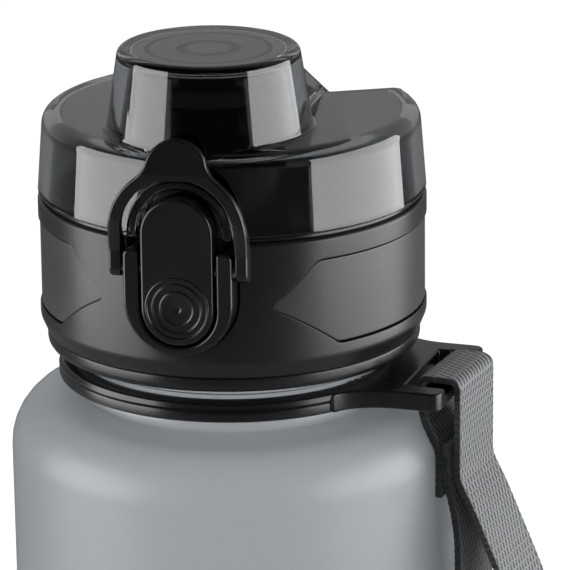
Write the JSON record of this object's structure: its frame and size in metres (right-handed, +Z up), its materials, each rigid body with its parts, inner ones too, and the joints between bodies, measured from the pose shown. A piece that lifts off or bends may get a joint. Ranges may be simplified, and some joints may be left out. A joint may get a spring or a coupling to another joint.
{
  "type": "sports bottle",
  "caption": "Frosted sports bottle with a screw cap, clear spring flip lid, push-button latch, lock bail and webbing carry strap on a swivel ring.",
  "frame": {"origin": "centre of the flat base, on the bottle's axis", "axes": "+Z up along the bottle's axis, -Y towards the latch, +Y towards the lid's hinge, +X on the strap's side"},
  "size_m": [0.1005, 0.0748, 0.2452],
  "materials": {
    "frosted_bottle": "frosted satin, translucent grey",
    "black_hard_plastic": "satin moulded",
    "soft_grip": "satin soft-touch",
    "grip_panel": "fine matt soft-touch",
    "smoke_clear": "glossy, transparent, smoke tinted",
    "light_silicone": "satin moulded silicone",
    "steel": "drawn wire",
    "webbing": "woven nylon webbing",
    "strap_thread": "twisted sewing thread"
  },
  "bodies": {
    "bottle": {"bottle_body": "frosted_bottle"},
    "strap": {"strap_ring": "black_hard_plastic", "carry_strap": "webbing", "strap_stitching": "strap_thread"},
    "cap_seat": {"cap_gasket": "light_silicone"},
    "cap": {"screw_cap": "black_hard_plastic", "grip_sleeve": "soft_grip", "grip_panels": "grip_panel", "drinking_spout": "black_hard_plastic", "hinge_pin": "steel", "lid_spring": "steel", "latch_pin": "steel", "latch_spring": "steel"},
    "lid": {"flip_lid": "smoke_clear", "spout_seal": "light_silicone"},
    "button": {"latch_button": "black_hard_plastic"},
    "bail": {"lock_bail": "black_hard_plastic"}
  },
  "joints": [
    {"name": "strap_swivel", "type": "hinge", "parent": "bottle", "child": "strap", "pos_m": [0, 0, 0.188], "axis": [0, 0, 1], "continuous": true},
    {"name": "cap_lift", "type": "slide", "parent": "bottle", "child": "cap_seat", "axis": [0, 0, 1], "range_m": [0, 0.0061]},
    {"name": "cap_turn", "type": "hinge", "parent": "cap_seat", "child": "cap", "pos_m": [0, 0, 0.2], "axis": [0, 0, 1], "range_deg": [0, 540]},
    {"name": "lid_hinge", "type": "hinge", "parent": "cap", "child": "lid", "pos_m": [0, 0.0344, 0.22], "axis": [-1, 0, 0], "range_deg": [0, 130], "deforming": ["lid_spring"]},
    {"name": "latch_press", "type": "hinge", "parent": "cap", "child": "button", "pos_m": [0, -0.0326, 0.2136], "axis": [1, 0, 0], "range_deg": [0, 6.5], "stiffness_Nm_per_rad": 0.02, "springref_deg": -17.19, "deforming": ["latch_spring"]},
    {"name": "bail_swing", "type": "hinge", "parent": "cap", "child": "bail", "pos_m": [0, -0.0326, 0.2136], "axis": [1, 0, 0], "range_deg": [0, 150]}
  ],
  "couplings": [
    {"joint": "cap_lift", "follows": "cap_turn", "m_per_rad": 0.00063662}
  ]
}
